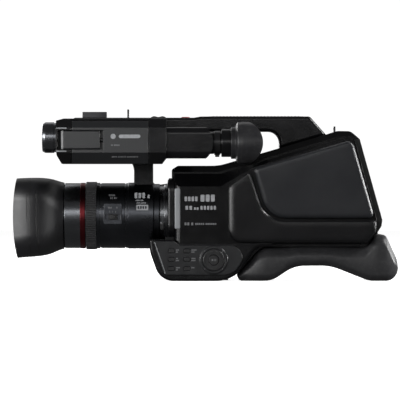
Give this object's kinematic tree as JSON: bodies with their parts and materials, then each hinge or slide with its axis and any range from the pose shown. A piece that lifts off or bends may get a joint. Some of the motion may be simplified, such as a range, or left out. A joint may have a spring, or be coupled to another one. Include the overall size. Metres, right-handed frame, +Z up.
{
  "type": "camcorder",
  "caption": "Shoulder-mount camcorder with hooded zoom lens, carrying handle, fold-out monitor, viewfinder, side control panel, hand grip and shoulder pad.",
  "frame": {"origin": "mouth of the tripod socket in the base, level with the surface that the camcorder stands on", "axes": "+Z up; -X the way the lens looks; -Y the operator's left, the side with the monitor and viewfinder"},
  "size_m": [0.449, 0.235, 0.201],
  "materials": {
    "casing": "fine satin black",
    "gloss": "glossy black",
    "barrel": "satin black lens barrel",
    "rubber": "matte black rubber",
    "red": "red anodised",
    "steel": "bare steel",
    "dark_steel": "dark plated",
    "ring": "dark anodised",
    "glass": "coated glass",
    "screen": "glossy display",
    "sensor": "sensor and its holder",
    "fabric": "padded strap",
    "red_button": "red button",
    "grey_button": "dark grey button",
    "diffuser": "frosted lamp window"
  },
  "bodies": {
    "camcorder": {"lens_hood": "gloss", "front_barrel": "barrel", "front_lens": "glass", "red_ring": "red", "mid_barrel": "barrel", "rear_barrel": "barrel", "lens_mount_ring": "ring", "front_bezel": "casing", "image_sensor": "sensor", "body_left": "casing", "body_right": "casing", "top_cover": "casing", "rear_panel": "casing", "side_cover_left": "gloss", "side_cover_right": "gloss", "stock_cover_left": "gloss", "stock_cover_right": "gloss", "rear_jacks": "sensor", "base_housing": "casing", "control_panel": "casing", "tripod_insert": "steel", "shoulder_pad": "rubber", "base_screws": "dark_steel", "handle_frame": "casing", "accessory_shoe": "dark_steel", "mic_grille": "casing", "head_housing": "casing", "light_barrel": "casing", "light_lens": "diffuser", "evf_tube": "casing", "eyepiece_tube": "casing", "eyepiece_lens": "glass", "grip_housing": "casing", "hand_strap": "fabric", "strap_eyelet_front": "dark_steel", "strap_eyelet_rear": "dark_steel"},
    "focus_ring": {"focus_ring": "rubber"},
    "function_switch": {"function_switch": "grey_button"},
    "zoom_lens": {"zoom_lens": "glass"},
    "jog_dial": {"jog_dial": "grey_button"},
    "dial_button": {"dial_button": "grey_button"},
    "battery_pack": {"battery_pack": "casing"},
    "battery_latch": {"battery_latch": "grey_button"},
    "terminal_cover": {"terminal_cover": "rubber"},
    "card_door": {"card_door": "casing"},
    "handle_zoom_lever": {"handle_zoom_lever": "grey_button"},
    "handle_rec_button": {"handle_rec_button": "red_button"},
    "monitor": {"lcd_panel": "gloss", "lcd_screen": "screen", "lcd_hinge": "gloss"},
    "eyecup": {"eyecup": "rubber"},
    "diopter_ring": {"diopter_ring": "grey_button"},
    "zoom_rocker": {"zoom_rocker": "grey_button"},
    "rec_button": {"rec_button": "red_button"},
    "panel_button_1": {"panel_button_1": "grey_button"},
    "panel_button_2": {"panel_button_2": "grey_button"},
    "panel_button_3": {"panel_button_3": "grey_button"},
    "panel_button_4": {"panel_button_4": "grey_button"},
    "panel_button_5": {"panel_button_5": "grey_button"},
    "panel_button_6": {"panel_button_6": "grey_button"}
  },
  "joints": [
    {"name": "focus_ring_turn", "type": "hinge", "parent": "camcorder", "child": "focus_ring", "pos_m": [-0.1276, 0, 0.076], "axis": [1, 0, 0], "continuous": true},
    {"name": "function_switch_slide", "type": "slide", "parent": "camcorder", "child": "function_switch", "axis": [1, 0, 0], "range_m": [-0.0035, 0.0035]},
    {"name": "zoom_lens_slide", "type": "slide", "parent": "camcorder", "child": "zoom_lens", "axis": [1, 0, 0], "range_m": [-0.02, 0.03]},
    {"name": "jog_dial_turn", "type": "hinge", "parent": "camcorder", "child": "jog_dial", "pos_m": [0.016, -0.058, 0.0246], "axis": [0, 1, 0], "continuous": true},
    {"name": "dial_button_press", "type": "slide", "parent": "camcorder", "child": "dial_button", "axis": [0, 1, 0], "range_m": [0, 0.0008], "stiffness_N_per_m": 250, "springref_m": -0.0004},
    {"name": "battery_slide", "type": "slide", "parent": "camcorder", "child": "battery_pack", "axis": [0.9632, 0, 0.2687], "range_m": [0, 0.06]},
    {"name": "battery_latch_slide", "type": "slide", "parent": "camcorder", "child": "battery_latch", "axis": [0, 1, 0], "range_m": [0, 0.005], "stiffness_N_per_m": 120, "springref_m": -0.001},
    {"name": "terminal_cover_hinge", "type": "hinge", "parent": "camcorder", "child": "terminal_cover", "pos_m": [0.2126, 0, 0.07063], "axis": [0, 1, 0], "range_deg": [0, 100]},
    {"name": "card_door_hinge", "type": "hinge", "parent": "camcorder", "child": "card_door", "pos_m": [0.131, 0.06, 0.0493], "axis": [-1, 0, 0], "range_deg": [0, 100]},
    {"name": "handle_zoom_rock", "type": "hinge", "parent": "camcorder", "child": "handle_zoom_lever", "pos_m": [-0.049, 0, 0.1894], "axis": [0, 1, 0], "range_deg": [-6, 6], "stiffness_Nm_per_rad": 0.06},
    {"name": "handle_rec_press", "type": "slide", "parent": "camcorder", "child": "handle_rec_button", "axis": [0, 0, -1], "range_m": [0, 0.0008], "stiffness_N_per_m": 250, "springref_m": -0.0004},
    {"name": "monitor_swing", "type": "hinge", "parent": "camcorder", "child": "monitor", "pos_m": [-0.158, -0.0758, 0.1639], "axis": [0, 0, -1], "range_deg": [0, 90]},
    {"name": "eyecup_turn", "type": "hinge", "parent": "camcorder", "child": "eyecup", "pos_m": [0.04, -0.058, 0.1608], "axis": [1, 0, 0], "range_deg": [-180, 180]},
    {"name": "diopter_turn", "type": "hinge", "parent": "camcorder", "child": "diopter_ring", "pos_m": [0.02, -0.058, 0.1608], "axis": [1, 0, 0], "range_deg": [-45, 45]},
    {"name": "zoom_rocker_rock", "type": "hinge", "parent": "camcorder", "child": "zoom_rocker", "pos_m": [-0.048, 0.073, 0.1106], "axis": [0, 1, 0], "range_deg": [-6, 6], "stiffness_Nm_per_rad": 0.06},
    {"name": "rec_button_press", "type": "slide", "parent": "camcorder", "child": "rec_button", "axis": [-1, 0, 0], "range_m": [0, 0.0008], "stiffness_N_per_m": 250, "springref_m": -0.0004},
    {"name": "panel_button_1_press", "type": "slide", "parent": "camcorder", "child": "panel_button_1", "axis": [0, 1, 0], "range_m": [0, 0.0008], "stiffness_N_per_m": 250, "springref_m": -0.0004},
    {"name": "panel_button_2_press", "type": "slide", "parent": "camcorder", "child": "panel_button_2", "axis": [0, 1, 0], "range_m": [0, 0.0008], "stiffness_N_per_m": 250, "springref_m": -0.0004},
    {"name": "panel_button_3_press", "type": "slide", "parent": "camcorder", "child": "panel_button_3", "axis": [0, 1, 0], "range_m": [0, 0.0008], "stiffness_N_per_m": 250, "springref_m": -0.0004},
    {"name": "panel_button_4_press", "type": "slide", "parent": "camcorder", "child": "panel_button_4", "axis": [0, 1, 0], "range_m": [0, 0.0008], "stiffness_N_per_m": 250, "springref_m": -0.0004},
    {"name": "panel_button_5_press", "type": "slide", "parent": "camcorder", "child": "panel_button_5", "axis": [0, 1, 0], "range_m": [0, 0.0008], "stiffness_N_per_m": 250, "springref_m": -0.0004},
    {"name": "panel_button_6_press", "type": "slide", "parent": "camcorder", "child": "panel_button_6", "axis": [0, 1, 0], "range_m": [0, 0.0008], "stiffness_N_per_m": 250, "springref_m": -0.0004}
  ]
}
